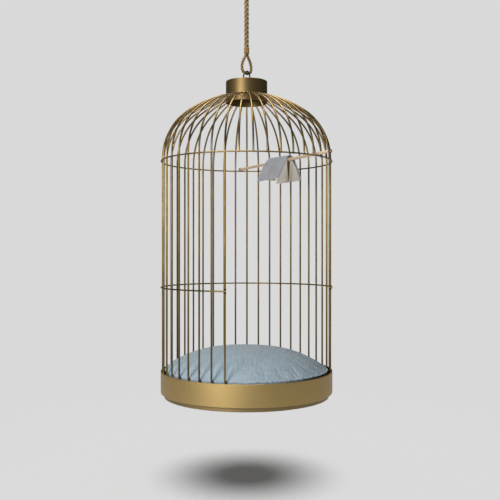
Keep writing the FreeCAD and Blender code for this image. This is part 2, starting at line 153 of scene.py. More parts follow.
def resampled(points, step):
    """The same line with evenly spaced points."""
    gaps = np.linalg.norm(np.diff(points, axis=0), axis=1)
    along = np.concatenate([[0], np.cumsum(gaps)])
    wanted = np.linspace(0, along[-1], max(2, round(along[-1] / step) + 1))
    return np.stack([np.interp(wanted, along, points[:, i]) for i in range(3)], axis=1)


def tube(points, radius, sides=10, shape=None):
    """A closed tube along the points. shape(angle, index) gives a factor on the radius."""
    points = np.asarray(points, float)
    normals, sideways = frames(points)
    radii = np.broadcast_to(np.asarray(radius, float), (len(points),))
    angles = np.arange(sides) * 2 * math.pi / sides
    verts = []
    for i, (point, normal, across) in enumerate(zip(points, normals, sideways)):
        r = radii[i] * (shape(angles, i) if shape else np.ones(sides))
        verts.append(point + np.outer(r * np.cos(angles), normal) + np.outer(r * np.sin(angles), across))
    verts = np.concatenate(verts)
    faces = []
    for i in range(len(points) - 1):
        for k in range(sides):
            a, b = i * sides + k, i * sides + (k + 1) % sides
            faces.append((a, b, b + sides, a + sides))
    faces.append(tuple(reversed(range(sides))))
    faces.append(tuple(range(len(verts) - sides, len(verts))))
    return list(verts), faces


def blob(centre, radii, axes, rings=6, sides=8, rough=0.0):
    """A small rounded lump with three radii along three axes."""
    verts = [centre + axes[2] * radii[2]]
    for i in range(1, rings):
        tilt = math.pi * i / rings
        for k in range(sides):
            turn = 2 * math.pi * k / sides
            bump = 1 + rough * (random.random() - 0.5)
            verts.append(centre + bump * (
                axes[0] * (radii[0] * math.sin(tilt) * math.cos(turn))
                + axes[1] * (radii[1] * math.sin(tilt) * math.sin(turn))
                + axes[2] * (radii[2] * math.cos(tilt))))
    verts.append(centre - axes[2] * radii[2])
    last = len(verts) - 1
    faces = [(0, 1 + k, 1 + (k + 1) % sides) for k in range(sides)]
    for i in range(rings - 2):
        for k in range(sides):
            a, b = 1 + i * sides + k, 1 + i * sides + (k + 1) % sides
            faces.append((a, a + sides, b + sides, b))
    base = 1 + (rings - 2) * sides
    faces.extend((last, base + (k + 1) % sides, base + k) for k in range(sides))
    return verts, faces


def lathe(profile, centre, axis, sides=48):
    """A closed outline of (radius, along) points turned about an axis."""
    axis = unit(np.asarray(axis, float))
    first = unit(np.cross(axis, UP if abs(axis @ UP) < 0.9 else (1.0, 0.0, 0.0)))
    second = np.cross(axis, first)
    verts, faces = [], []
    for k in range(sides):
        turn = 2 * math.pi * k / sides
        out = first * math.cos(turn) + second * math.sin(turn)
        verts.extend(centre + out * r + axis * h for r, h in profile)
    n = len(profile)
    for k in range(sides):
        for i in range(n):
            a, b = k * n + i, k * n + (i + 1) % n
            c, d = ((k + 1) % sides) * n + (i + 1) % n, ((k + 1) % sides) * n + i
            faces.append((a, b, c, d))
    return verts, faces


# ---- material helpers ----
class Paint:
    """A node material being made: its Principled shader and short calls for the nodes round it."""

    def __init__(self, name, color, roughness, metallic=0.0, **sockets):
        self.material = bpy.data.materials.new(name)
        self.material.use_nodes = True
        self.tree = self.material.node_tree
        self.shader = self.tree.nodes["Principled BSDF"]
        self.set("Base Color", (*color, 1))
        self.set("Roughness", roughness)
        self.set("Metallic", metallic)
        for socket, value in sockets.items():
            self.set(socket.replace("_", " "), value)
        self.where = self.tree.nodes.new("ShaderNodeTexCoord").outputs["Object"]

    def set(self, socket, value):
        self.shader.inputs[socket].default_value = value

    def link(self, source, target):
        self.tree.links.new(source, target)

    def node(self, kind, **inputs):
        made = self.tree.nodes.new(kind)
        for name, value in inputs.items():
            socket = made.inputs[int(name[1:])] if name[0] == "_" and name[1:].isdigit() else made.inputs[name]
            if isinstance(value, bpy.types.NodeSocket):
                self.link(value, socket)
            else:
                socket.default_value = value
        return made

    def math(self, operation, a, b=0.0):
        made = self.node("ShaderNodeMath", _0=a, _1=b)
        made.operation = operation
        return made.outputs[0]

    def far(self, *ways):
        """The length of a way, from its part along each axis."""
        squares = [self.math("MULTIPLY", way, way) for way in ways]
        total = squares[0]
        for square in squares[1:]:
            total = self.math("ADD", total, square)
        return self.math("SQRT", total)

    def scaled(self, scale, source=None, turn=(0, 0, 0)):
        made = self.node("ShaderNodeMapping", Vector=source or self.where, Scale=scale, Rotation=turn)
        return made.outputs["Vector"]

    def noise(self, scale, detail=3.0, source=None, rough=0.5):
        made = self.node("ShaderNodeTexNoise", Vector=source or self.where, Scale=scale, Detail=detail,
                         Roughness=rough)
        return made.outputs["Fac"]

    def ramp(self, value, stops):
        """Colours at places along a value from 0 to 1."""
        made = self.node("ShaderNodeValToRGB", Fac=value)
        elements = made.color_ramp.elements
        while len(elements) < len(stops):
            elements.new(0.5)
        for element, (place, color) in zip(elements, stops):
            element.position = place
            element.color = (*color, 1)
        return made.outputs["Color"]

    def levels(self, value, low, high):
        """The value's 0.25 to 0.75 spread over low to high."""
        made = self.node("ShaderNodeMapRange", Value=value)
        for socket, number in (("From Min", 0.25), ("From Max", 0.75), ("To Min", low), ("To Max", high)):
            made.inputs[socket].default_value = number
        return made.outputs["Result"]

    def mix(self, factor, a, b, blend="MIX"):
        made = self.tree.nodes.new("ShaderNodeMix")
        made.data_type = "RGBA"
        made.blend_type = blend
        for index, value in ((0, factor), (6, a), (7, b)):
            if isinstance(value, bpy.types.NodeSocket):
                self.link(value, made.inputs[index])
            else:
                made.inputs[index].default_value = value if index == 0 else (*value, 1)
        return made.outputs[2]

    def xyz(self, source=None):
        return self.node("ShaderNodeSeparateXYZ", Vector=source or self.where).outputs

    def vector(self, x, y, z):
        return self.node("ShaderNodeCombineXYZ", X=x, Y=y, Z=z).outputs["Vector"]

    def color(self, value):
        self.link(value, self.shader.inputs["Base Color"])

    def rough(self, value):
        self.link(value, self.shader.inputs["Roughness"])

    def bump(self, height, distance, strength=1.0):
        made = self.node("ShaderNodeBump", Height=height, Distance=distance, Strength=strength)
        self.link(made.outputs["Normal"], self.shader.inputs["Normal"])


def round_z(paint, across):
    """Coordinates that run round the Z axis: for streaks along a turned or rolled surface."""
    x, y, z = paint.xyz()
    angle = paint.math("ARCTAN2", y, x)
    return paint.vector(paint.math("MULTIPLY", angle, across), 0.0, z)


def brushed_brass(name="brushed_brass", deep=(0.43, 0.295, 0.105), pale=(0.57, 0.405, 0.160), rough=0.50):
    """Satin brass sheet, brushed round its own axis, a little uneven in tone."""
    p = Paint(name, pale, rough, 1.0, Coat_Weight=0.35, Coat_Roughness=0.42)
    streaks = p.noise(1.0, 4.0, p.scaled((6.0, 1.0, 1400.0), round_z(p, 1.0)))
    broad = p.noise(1.0, 3.0, p.scaled((3.0, 1.0, 150.0), round_z(p, 1.0)))
    stain = p.noise(7.0, 4.0)
    tone = p.ramp(stain, [(0.30, tuple(0.92 * c for c in pale)), (0.70, pale)])
    tone = p.mix(p.levels(broad, 0.0, 0.40), tone, tuple(min(1.0, 1.12 * c) for c in pale))
    tone = p.mix(p.levels(streaks, 0.0, 0.40), tone, deep)
    p.color(tone)
    p.rough(p.math("ADD", p.levels(streaks, rough - 0.05, rough + 0.06), p.levels(stain, -0.03, 0.04)))
    p.bump(streaks, 0.00006, 0.6)
    return p.material


def rising(p, z, low, high):
    """0 below one height and 1 above another."""
    made = p.node("ShaderNodeMapRange", Value=z)
    made.interpolation_type = "SMOOTHSTEP"
    made.inputs["From Min"].default_value = low
    made.inputs["From Max"].default_value = high
    return made.outputs["Result"]


def aged_brass(name="aged_brass", deep=(0.114, 0.077, 0.019), middle=(0.200, 0.138, 0.036),
               pale=(0.300, 0.212, 0.070), brighter_above=None):
    """Brass rod with a brown patina. Above a height the faces that turn downwards are paler."""
    p = Paint(name, middle, 0.38, 1.0)
    patina = p.noise(9.0, 4.0, p.scaled((1.0, 1.0, 0.35)))
    fine = p.noise(160.0, 3.0, p.scaled((1.0, 1.0, 0.2)))
    tone = p.ramp(patina, [(0.30, deep), (0.55, middle), (0.75, pale)])
    tone = p.mix(p.levels(fine, 0.0, 0.3), tone, deep)
    if brighter_above is not None:
        # above the given height, faces that turn downwards get a paler colour
        facing = p.xyz(p.where.node.outputs["Normal"])[2]
        brighter_undersides = p.math("MULTIPLY", rising(p, p.xyz()[2], brighter_above, brighter_above + 0.09),
                       p.math("SUBTRACT", 1.0, rising(p, facing, -0.35, 0.15)))
        tone = p.mix(brighter_undersides, tone, (0.68, 0.53, 0.35))
    p.color(tone)
    p.rough(p.levels(fine, 0.32, 0.46))
    p.bump(fine, 0.00008, 0.5)
    return p.material


def braze():
    """Small brighter lumps of filler where the rods are joined."""
    p = Paint("braze", (0.42, 0.30, 0.13), 0.42, 1.0)
    spots = p.noise(220.0, 3.0)
    p.color(p.ramp(spots, [(0.30, (0.26, 0.18, 0.075)), (0.70, (0.52, 0.37, 0.16))]))
    p.bump(spots, 0.0003, 0.8)
    return p.material


def dark_steel():
    """Bronze-black paint on steel, with a faint orange peel."""
    p = Paint("dark_steel", (0.030, 0.022, 0.015), 0.45, 0.3)
    peel = p.noise(420.0, 2.0)
    cloud = p.noise(14.0, 4.0)
    p.color(p.ramp(cloud, [(0.30, (0.022, 0.016, 0.011)), (0.75, (0.050, 0.037, 0.024))]))
    p.rough(p.levels(cloud, 0.36, 0.55))
    p.bump(peel, 0.00012, 0.5)
    return p.material


def blackened_steel():
    """Oil-blackened steel, greenish black, rubbed a little brighter."""
    p = Paint("blackened_steel", (0.030, 0.034, 0.028), 0.38, 0.9)
    rub = p.noise(60.0, 4.0)
    fine = p.noise(700.0, 2.0)
    p.color(p.ramp(rub, [(0.35, (0.018, 0.021, 0.017)), (0.72, (0.090, 0.092, 0.078))]))
    p.rough(p.levels(rub, 0.48, 0.30))
    p.bump(fine, 0.00006, 0.5)
    return p.material


def threaded_steel():
    """Blackened round bar with a rolled thread."""
    p = Paint("threaded_steel", (0.022, 0.027, 0.020), 0.48, 0.6)
    z = p.xyz()[2]
    rub = p.noise(60.0, 4.0)
    turns = p.math("SINE", p.math("MULTIPLY", z, 2 * math.pi / 0.0010))
    p.color(p.mix(p.levels(turns, 0.0, 0.5), (0.010, 0.013, 0.009), (0.040, 0.047, 0.034)))
    p.rough(p.levels(rub, 0.50, 0.34))
    p.bump(turns, 0.0003, 0.7)
    return p.material


def end_grain():
    """The pale cut end of a stick, with its growth rings."""
    p = Paint("end_grain", (0.70, 0.60, 0.48), 0.6)
    rings = p.node("ShaderNodeTexWave", Vector=p.where, Scale=230.0, Distortion=2.5, Detail=2.0)
    rings.wave_type = "RINGS"
    p.color(p.mix(p.levels(rings.outputs["Fac"], 0.0, 0.5), (0.76, 0.68, 0.57), (0.48, 0.36, 0.24)))
    p.bump(rings.outputs["Fac"], 0.0002, 0.4)
    return p.material


def zinc_steel():
    """Zinc-plated steel with its faint spangle."""
    p = Paint("zinc_steel", (0.52, 0.53, 0.54), 0.32, 1.0)
    cells = p.node("ShaderNodeTexVoronoi", Vector=p.where, Scale=240.0).outputs["Distance"]
    dull = p.noise(50.0, 4.0)
    p.color(p.ramp(dull, [(0.30, (0.40, 0.41, 0.42)), (0.70, (0.60, 0.61, 0.62))]))
    p.rough(p.math("ADD", p.levels(dull, 0.28, 0.42), p.math("MULTIPLY", cells, 0.08)))
    p.bump(cells, 0.00005, 0.4)
    return p.material


def grained_wood(name, pale, deep, grain_turn, ring_scale, roughness):
    """Wood with growth bands and fine pores along one direction."""
    p = Paint(name, pale, roughness, 0.0, Coat_Weight=0.08, Coat_Roughness=0.35)
    lined = p.scaled((1.0, 0.06, 1.0), turn=grain_turn)
    bands = p.node("ShaderNodeTexWave", Vector=lined, Scale=ring_scale, Distortion=5.0, Detail=3.0)
    bands.bands_direction = "DIAGONAL"
    pores = p.noise(900.0, 3.0, p.scaled((1.0, 0.03, 1.0), turn=grain_turn))
    cloud = p.noise(18.0, 3.0, p.scaled((1.0, 0.3, 1.0), turn=grain_turn))
    tone = p.mix(p.levels(bands.outputs["Fac"], 0.05, 0.65), pale, deep)
    tone = p.mix(p.levels(cloud, 0.0, 0.35), tone, tuple(c * 0.72 for c in deep))
    tone = p.mix(p.levels(pores, 0.0, 0.22), tone, tuple(c * 0.45 for c in deep))
    p.color(tone)
    p.rough(p.levels(pores, roughness - 0.05, roughness + 0.10))
    p.bump(pores, 0.0002, 0.5)
    return p.material


def cushion_cloth():
    """Blue-grey plain weave with uneven, slubby yarns."""
    p = Paint("cushion_cloth", (0.32, 0.40, 0.44), 0.88, 0.0, Sheen_Weight=0.25, Sheen_Roughness=0.5)
    p.set("Specular IOR Level", 0.25)
    x, y, _ = p.xyz()
    pitch = 2 * math.pi / 0.0016
    warp = p.math("SINE", p.math("MULTIPLY", x, pitch))
    weft = p.math("SINE", p.math("MULTIPLY", y, pitch))
    weave = p.math("MULTIPLY", warp, weft)
    slub_x = p.noise(1.0, 3.0, p.scaled((28.0, 420.0, 28.0)), 0.6)
    slub_y = p.noise(1.0, 3.0, p.scaled((420.0, 28.0, 28.0)), 0.6)
    coarse_x = p.noise(1.0, 2.0, p.scaled((11.0, 150.0, 11.0)), 0.6)
    coarse_y = p.noise(1.0, 2.0, p.scaled((150.0, 11.0, 11.0)), 0.6)
    coarse = p.math("MULTIPLY", p.math("ADD", coarse_x, coarse_y), 0.5)
    slub = p.math("MULTIPLY", p.math("ADD", slub_x, slub_y), 0.5)
    heather = p.noise(330.0, 2.0)
    cloud = p.noise(5.0, 3.0)
    tone = p.ramp(slub, [(0.36, (0.278, 0.376, 0.444)), (0.50, (0.362, 0.462, 0.526)),
                         (0.64, (0.452, 0.544, 0.594))])
    tone = p.mix(p.levels(heather, 0.0, 0.30), tone, (0.510, 0.588, 0.630))
    tone = p.mix(p.levels(cloud, 0.0, 0.18), tone, (0.265, 0.350, 0.405))
    tone = p.mix(p.levels(coarse, -0.55, 0.95), tone, (0.215, 0.305, 0.385))
    p.color(tone)
    height = p.math("ADD", p.math("MULTIPLY", weave, 0.25), p.math("MULTIPLY", slub, 1.3))
    height = p.math("ADD", height, p.math("MULTIPLY", coarse, 1.2))
    p.bump(height, 0.0006, 0.7)
    return p.material


def fibre(name, dark, middle, light, scale, shade_grooves=False):
    """Twisted plant fibre: straw-coloured yarns with darker ones between. For the rope, a painted shade makes it
    darkest deep between the strands.
    """
    p = Paint(name, middle, 0.82, 0.0, Sheen_Weight=0.15, Sheen_Roughness=0.5)
    p.set("Specular IOR Level", 0.2)
    hairs = p.noise(1.0, 5.0, p.scaled((scale, scale, scale * 0.28), turn=(0.0, 0.5, 0.0)), 0.65)
    cloud = p.noise(38.0, 3.0)
    tone = p.ramp(hairs, [(0.32, dark), (0.50, middle), (0.68, light)])
    tone = p.mix(p.levels(cloud, 0.0, 0.45), tone, dark)
    if shade_grooves:
        # painted shade: the colour is darkened where a point lies deep between the strands
        groove_shade_reach = p.tree.nodes.new("ShaderNodeAttribute")
        groove_shade_reach.attribute_name = "reach"
        shade = p.ramp(groove_shade_reach.outputs["Fac"], [(0.66, (0.13, 0.13, 0.13)), (0.84, (0.62, 0.62, 0.62)),
                                              (0.97, (1, 1, 1))])
        tone = p.mix(1.0, tone, shade, "MULTIPLY")
        # the rope is near black within about 12 mm of where the lower eye bears on the U-bolt, fading back to its own
        # colour by 24 mm
        away = p.far(*p.xyz(p.node("ShaderNodeVectorMath", _0=p.where, _1=FROM_BEARING).outputs["Vector"]))
        tone = p.mix(rising(p, away, 0.012, 0.024), (0.030, 0.030, 0.020), tone)
    p.color(tone)
    p.bump(hairs, 0.0007, 0.8)
    return p.material


def book_cloth():
    """Smooth grey book cloth on board, paler where it is rubbed."""
    p = Paint("book_cloth", (0.36, 0.37, 0.40), 0.62, 0.0, Sheen_Weight=0.1)
    thread = p.noise(1.0, 2.0, p.scaled((1500.0, 1500.0, 1500.0)))
    cloud = p.noise(16.0, 4.0)
    p.color(p.ramp(cloud, [(0.30, (0.320, 0.330, 0.360)), (0.70, (0.420, 0.430, 0.460))]))
    p.rough(p.levels(cloud, 0.55, 0.70))
    p.bump(thread, 0.0001, 0.5)
    return p.material


def paper():
    """Uncoated cream paper. Each leaf's colour is a painted shade, darkest for the leaves in the middle of the fan
    and darker for the outermost right-hand leaves, with a little random difference in tone on top.
    """
    p = Paint("paper", (0.74, 0.68, 0.57), 0.85, 0.0)
    p.set("Specular IOR Level", 0.2)
    leaf = p.tree.nodes.new("ShaderNodeAttribute")
    leaf.attribute_name = "leaf_shade_and_tone"
    tone = p.ramp(leaf.outputs["Fac"], [(0.0, (0.36, 0.31, 0.25)), (0.35, (0.62, 0.54, 0.43)),
                                        (0.7, (0.78, 0.73, 0.63)), (1.0, (0.88, 0.87, 0.83))])
    pulp = p.noise(90.0, 5.0)
    p.color(p.mix(p.levels(pulp, 0.0, 0.18), tone, (0.52, 0.45, 0.35)))
    p.bump(p.noise(900.0, 3.0), 0.0001, 0.4)
    return p.material


def moulded_plastic():
    """Ivory bearing plastic with fine turning marks."""
    p = Paint("bush_plastic", (0.72, 0.70, 0.62), 0.45)
    p.bump(p.noise(600.0, 2.0), 0.00005, 0.5)
    p.color(p.ramp(p.noise(30.0), [(0.3, (0.66, 0.64, 0.56)), (0.7, (0.76, 0.74, 0.67))]))
    return p.material


BRASS = brushed_brass()
CAP_BRASS = brushed_brass("cap_brass", (0.16, 0.100, 0.034), (0.255, 0.172, 0.064), 0.46)
PLINTH_BRASS = brushed_brass("plinth_brass", (0.15, 0.108, 0.044), (0.36, 0.260, 0.110), 0.50)
ROD_BRASS = aged_brass()
RIB_BRASS = aged_brass("rib_brass", (0.145, 0.098, 0.036), (0.290, 0.198, 0.076), (0.53, 0.380, 0.175), -0.945)
BRAZE = braze()
DARK_STEEL = dark_steel()
BLACK_STEEL = blackened_steel()
THREAD_STEEL = threaded_steel()
ZINC = zinc_steel()
PLYWOOD = grained_wood("plywood", (0.62, 0.45, 0.27), (0.45, 0.30, 0.16), (0, 0, 0), 14.0, 0.62)
PERCH_TURN = math.atan2(*(PERCH_FRONT - PERCH_BACK)[:2])
PERCH_WOOD = grained_wood("perch_wood", (0.72, 0.57, 0.41), (0.56, 0.40, 0.25), (0, 0, PERCH_TURN), 60.0, 0.5)
CAP_WOOD = grained_wood("cap_wood", (0.060, 0.042, 0.028), (0.030, 0.021, 0.015), (0, 0, PERCH_TURN), 60.0, 0.42)
END_GRAIN = end_grain()
CUSHION_CLOTH = cushion_cloth()
ROPE_FIBRE = fibre("rope_fibre", (0.085, 0.048, 0.016), (0.36, 0.240, 0.095), (0.58, 0.420, 0.200), 900.0, True)
TWINE = fibre("twine", (0.17, 0.090, 0.020), (0.40, 0.250, 0.080), (0.58, 0.40, 0.16), 1200.0)
BOOK_CLOTH = book_cloth()
PAPER = paper()
BUSH_PLASTIC = moulded_plastic()

CAD_MATERIALS = {
    BRASS: ["drum_band", "ceiling_plate", "swivel_housing"],
    CAP_BRASS: ["cap_shell", "cap_plate"],
    PLINTH_BRASS: ["plinth_ring"],
    ROD_BRASS: ["door_post_left", "door_post_right", "right_rods", "back_rods", "left_rods", "front_left_rods",
                "mid_ring"],
    RIB_BRASS: ["dome_ribs", "doorway_ribs", "upper_ring"],
    DARK_STEEL: ["drum_floor"],
    BLACK_STEEL: ["mid_ring_lashings", "u_bolt_washers", "u_bolt_nuts"],
    THREAD_STEEL: ["u_bolt"],
    ZINC: ["plinth_screws", "block_screws", "thimble", "shackle_bow", "shackle_pin", "swivel_eye"],
    PLYWOOD: ["seat_board", "board_blocks"],
    PERCH_WOOD: ["perch", "perch_end_caps"],
    BUSH_PLASTIC: ["thrust_bush"],
}


def paint_cad_nodes():
    for material, names in CAD_MATERIALS.items():
        for name in names:
            for slot in NODES[name].material_slots:
                slot.material = material


paint_cad_nodes()


# ---- rope ----
# control points of the two eyes and the rope, as (sideways, height)
LOWER_EYE = [
    (-0.005, -0.588), (-0.009, -0.606), (-0.027, -0.630), (-0.039, -0.662), (-0.036, -0.692), (-0.016, -0.7058),
    (0.016, -0.7058), (0.036, -0.692), (0.039, -0.662), (0.027, -0.630), (0.009, -0.606), (0.005, -0.588),
]
UPPER_EYE = [
    (-0.005, -0.200), (-0.008, -0.186), (-0.017, -0.160), (-0.0234, -0.134), (-0.0232, -0.1143),
    (-0.0095, -0.1007), (0.0095, -0.1007), (0.0232, -0.1143), (0.0234, -0.134), (0.017, -0.160),
    (0.008, -0.186), (0.005, -0.200),
]
ROPE_TOP, ROPE_LOW = -0.200, -0.588
MAIN_ROPE = [(0.0, ROPE_TOP), (0.0, (ROPE_TOP + ROPE_LOW) / 2), (0.0, ROPE_LOW)]
LAY = 0.080
EYE_LAY = 0.056
STRANDS = 3
STRAND_SIDES = 28
ROPE_STEP = 0.0016


def route_line(points, direction):
    """The smooth line that a route's control points give, in the upright plane that holds direction."""
    curve = bpy.data.curves.new("route", "CURVE")
    curve.dimensions = "3D"
    curve.resolution_u = 24
    spline = curve.splines.new("NURBS")
    spline.points.add(len(points) - 1)
    for control, (side, z) in zip(spline.points, points):
        control.co = (direction[0] * side, direction[1] * side, z, 1.0)
    spline.order_u = 3
    spline.use_endpoint_u = True
    holder = bpy.data.objects.new("route", curve)
    scene.collection.objects.link(holder)
    mesh = bpy.data.meshes.new_from_object(holder)
    line = np.array([v.co for v in mesh.vertices])
    bpy.data.objects.remove(holder)
    bpy.data.curves.remove(curve)
    bpy.data.meshes.remove(mesh)
    return line


def strand_lines(line, radius, lay):
    """The centre lines of three strands laid right-handed round a line, and one strand's radius."""
    line = resampled(line, ROPE_STEP)
    normals, sideways = frames(line, np.array((1.0, 0.0, 0.0)))
    along = np.concatenate([[0], np.cumsum(np.linalg.norm(np.diff(line, axis=0), axis=1))])
    strand_r = 0.50 * radius
    offset = radius - strand_r
    lines = []
    for k in range(STRANDS):
        turn = 2 * math.pi * along / lay + 2 * math.pi * k / STRANDS
        lines.append(line + offset * (np.cos(turn)[:, None] * normals + np.sin(turn)[:, None] * sideways))
    return lines, strand_r


def hairs(lines, strand_r, count, reach):
    """Loose fibre ends that stand out of the strands."""
    made = []
    for _ in range(count):
        line = random.choice(lines)
        i = random.randrange(2, len(line) - 8)
        way = unit(line[i + 1] - line[i - 1])
        out = unit(np.cross(way, np.array([random.gauss(0, 1) for _ in range(3)])))
        start = line[i] + out * strand_r * 0.9
        lean = random.uniform(0.4, 1.6)
        length = random.uniform(0.4, 1.0) * reach
        curl = unit(np.cross(way, out)) * random.uniform(-0.5, 0.5)
        steps = [start + (out * t + way * lean * t + curl * t * t) * length for t in (0.0, 0.35, 0.7, 1.0)]
        made.append(tube(steps, [0.00022, 0.0002, 0.00016, 0.0001], 4))
    return made


def laid_rope(name, line, radius, lay, hair_count):
    """A three-strand rope along a line: each strand shows its own yarns, twisted the other way."""
    lines, strand_r = strand_lines(line, radius, lay)
    yarns, yarn_turn = 7, 0.30

    def yarn_shape(angles, index):
        return 1 + 0.045 * np.abs(np.cos(yarns / 2 * (angles - yarn_turn * index))) - 0.03

    parts = [tube(strand, strand_r, STRAND_SIDES, yarn_shape) for strand in lines]
    middle = np.repeat(resampled(line, ROPE_STEP), STRAND_SIDES, axis=0)
    # each point's distance from the rope's middle line, which sets the painted shade deep between the strands
    reach = [np.linalg.norm(np.array(verts) - middle, axis=1) / radius for verts, _ in parts]
    parts += hairs(lines, strand_r, hair_count, radius * 0.42)
    rope = piece(name, *joined(parts), ROPE_FIBRE)
    values = np.ones(len(rope.data.vertices))
    values[:sum(len(r) for r in reach)] = np.concatenate(reach)
    rope.data.attributes.new("reach", "FLOAT", "POINT").data.foreach_set("value", values)
    return rope


def whipping(name, node):
    """Twine wound closely round the rope."""
    low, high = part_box(node)
    twine_r = 0.00105
    wound_height = high.z - low.z - 2 * twine_r
    turns = wound_height / (2 * twine_r * 0.97)
    steps = round(turns * 36)
    wound = []
    for i in range(steps + 1):
        turn = 2 * math.pi * turns * i / steps
        r = WHIPPING_R - twine_r - 0.0002 + 0.00018 * math.sin(5.3 * turn / math.pi)
        wound.append((r * math.cos(turn), r * math.sin(turn), low.z + twine_r + wound_height * i / steps))
    made = piece(name, *tube(wound, twine_r, 8), TWINE)
    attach(made, "rope")
    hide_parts(node)
    return made


def make_rope():
    eye_side = (math.cos(BOW_TURN + math.pi / 2), math.sin(BOW_TURN + math.pi / 2))
    lower_whipping = whipping("lower_whipping_twine", "lower_whipping")
    upper_whipping = whipping("upper_whipping_twine", "upper_whipping")
    routes = [
        ("main_rope_strands", "main_rope", MAIN_ROPE, (1.0, 0.0), ROPE_R, LAY, 150,
         [lower_whipping, upper_whipping]),
        ("lower_eye_strands", "lower_eye", LOWER_EYE, eye_side, EYE_R, EYE_LAY, 90, []),
        ("upper_eye_strands", "upper_eye", UPPER_EYE, (0.0, 1.0), EYE_R, EYE_LAY, 60, []),
    ]
    for name, node, points, direction, radius, lay, hair_count, extras in routes:
        line = route_line(points, direction)
        rope = laid_rope(name, line, radius, lay, hair_count)
        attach(rope, "rope")
        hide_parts(node)


make_rope()


# ---- small joints of the cage ----
def outward(degrees):
    a = math.radians(degrees)
    return np.array((math.sin(a), -math.cos(a), 0.0))


def rod_angle(index):
    return 360.0 / ROD_COUNT * (index + 0.5)


def is_door(index):
    return index in DOORWAY or index == ROD_COUNT - 1


def beads(name, indices, radius, z, radii):
    """A lump of filler on each rod, outward, round and up."""
    parts = []
    for i in indices:
        out = outward(rod_angle(i))
        round_way = np.cross(UP, out)
        parts.append(blob(out * radius + UP * z, radii, (out, round_way, UP), rough=0.12))
    made = piece(name, *joined(parts), BRAZE)
    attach(made, "cage")


def make_beads():
    through = [i for i in range(ROD_COUNT) if not is_door(i)]
    join_r = CAGE_R + ROD_R
    beads("upper_ring_beads", range(ROD_COUNT), join_r, RING_Z, (0.0036, 0.0058, 0.0052))
    beads("mid_ring_beads", through, join_r, MID_Z, (0.0034, 0.0054, 0.0050))
    beads("rim_beads", through, join_r + 0.0005, RIM_Z + 0.0004, (0.0026, 0.0060, 0.0016))
    beads("cap_beads", range(ROD_COUNT), CAP_R + 0.0006, RIB_END_Z, (0.0024, 0.0064, 0.0064))


make_beads()


def make_lashings():
    """Wire wound round each doorway post above and below the middle ring's end."""
    parts = []
    wire_r, turn_r = 0.0015, ROD_R + 0.0014
    turns, per_turn, wound_height = 2.2, 20, 0.0065
    for index in (DOORWAY.start - 1, DOORWAY.stop):
        out = outward(rod_angle(index))
        around = np.cross(UP, out)
        post = out * CAGE_R + UP * MID_Z
        for low in (-0.0125, 0.0060):
            wound = []
            for i in range(round(turns * per_turn) + 1):
                turn = 2 * math.pi * i / per_turn
                z = low + wound_height * i / (turns * per_turn)
                wound.append(post + turn_r * (out * math.cos(turn) + around * math.sin(turn)) + UP * z)
            parts.append(tube(wound, wire_r, 8))
    made = piece("wound_lashings", *joined(parts), BLACK_STEEL)
    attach(made, "cage")
    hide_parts("mid_ring_lashings")


make_lashings()


# ---- cushion ----
def cushion_form():
    """The pad before it is filled: a round form a little smaller than the space it fills."""
    low = cushion_low.z
    rise = cushion_high.z - RIM_Z
    profile = [(0.0, low), (0.20, low), (0.40, low), (0.452, low), (0.462, low + 0.012), (0.466, low + 0.035),
               (0.470, RIM_Z - 0.006), (0.4785, RIM_Z + 0.008), (0.4785, RIM_Z + 0.018)]
    crown = [(0.470, 0.20), (0.453, 0.36), (0.422, 0.52), (0.376, 0.665), (0.317, 0.785), (0.247, 0.885),
             (0.165, 0.950), (0.085, 0.985), (0.0, 0.990)]
    lift = 0.021    # filling raises the crown by the difference
    profile += [(r, RIM_Z + rise * share - lift) for r, share in crown]
    sides = 96
    verts, faces = [], []
    for k in range(sides):
        a = 2 * math.pi * k / sides
        verts.extend((r * math.cos(a), r * math.sin(a), z) for r, z in profile[1:-1])
    n = len(profile) - 2
    for k in range(sides):
        for i in range(n - 1):
            a, d = k * n + i, ((k + 1) % sides) * n + i
            faces.append((a, d, d + 1, a + 1))
    bottom, top = len(verts), len(verts) + 1
    verts += [(0, 0, profile[0][1]), (0, 0, profile[-1][1])]
    for k in range(sides):
        a, d = k * n, ((k + 1) % sides) * n
        faces.append((bottom, d, a))
        faces.append((top, a + n - 1, d + n - 1))
    return piece("cushion_pad", verts, faces, CUSHION_CLOTH)


def baked(obj):
    """The object's mesh with its modifiers applied."""
    graph = bpy.context.evaluated_depsgraph_get()
    graph.update()
    mesh = bpy.data.meshes.new_from_object(obj.evaluated_get(graph))
    old = obj.data
    obj.modifiers.clear()
    obj.data = mesh
    bpy.data.meshes.remove(old)


def points_of(mesh):
    co = np.empty(len(mesh.vertices) * 3)
    mesh.vertices.foreach_get("co", co)
    return co.reshape(-1, 3)


def remeshed(obj, voxel):
    remesh = obj.modifiers.new("remesh", "REMESH")
    remesh.mode = "VOXEL"
    remesh.voxel_size = voxel
    remesh.use_smooth_shade = True
    baked(obj)


def inflated(obj, pressure, frames_run, cap):
    """Fills the pad as cloth under pressure. No point moves further than cap."""
    start = points_of(obj.data)
    cloth = obj.modifiers.new("cloth", "CLOTH")
    settings = cloth.settings
    settings.quality = 5
    settings.mass = 0.25
    settings.tension_stiffness = 12
    settings.compression_stiffness = 12
    settings.shear_stiffness = 6
    settings.bending_stiffness = 0.4
    seat = obj.vertex_groups.new(name="seat")
    seat.add([i for i, point in enumerate(start) if point[2] < RIM_Z + 0.004], 1.0, "REPLACE")
    settings.vertex_group_mass = "seat"
    settings.use_pressure = True
    settings.uniform_pressure_force = pressure
    settings.effector_weights.gravity = 0
    cloth.point_cache.frame_start = 1
    cloth.point_cache.frame_end = frames_run
    scene.frame_start, scene.frame_end = 1, frames_run
    for f in range(1, frames_run + 1):
        scene.frame_set(f)
    baked(obj)
    scene.frame_set(1)
    end = points_of(obj.data)
    move = end - start
    far = np.linalg.norm(move, axis=1, keepdims=True)
    move *= np.minimum(1.0, cap / np.maximum(far, 1e-9))
    return start + move


